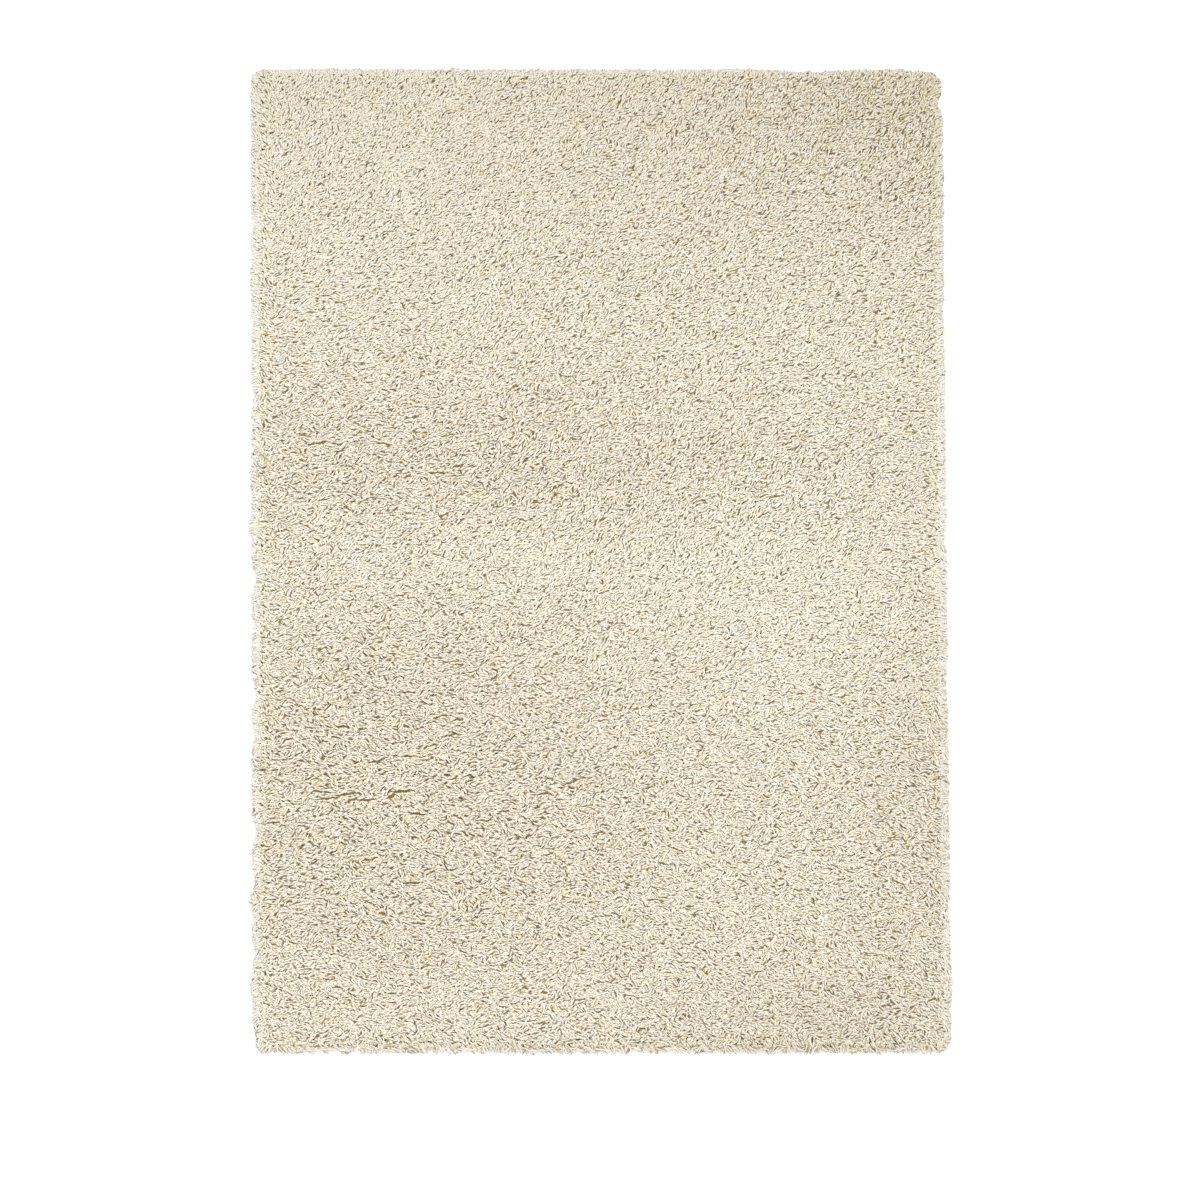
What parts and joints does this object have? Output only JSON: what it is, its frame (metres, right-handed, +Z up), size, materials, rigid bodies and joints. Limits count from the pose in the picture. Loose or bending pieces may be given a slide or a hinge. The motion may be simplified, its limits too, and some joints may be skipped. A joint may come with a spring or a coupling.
{
  "type": "shag rug",
  "caption": "Rectangular floor rug with a deep, loose yarn pile on a flat woven backing, lying flat.",
  "frame": {"origin": "centre of the rug's box, on the floor plane that the backing's underside lies on", "axes": "+X along the width, +Y along the length to the far end, +Z up out of the pile"},
  "size_m": [1.829, 2.743, 0.038],
  "materials": {
    "backing_cloth": "natural plain-woven cotton, matt",
    "pile_yarn": "cream twisted shag yarn, matt with a faint sheen"
  },
  "bodies": {
    "root": {"backing": "backing_cloth", "pile": "pile_yarn"}
  },
  "joints": []
}
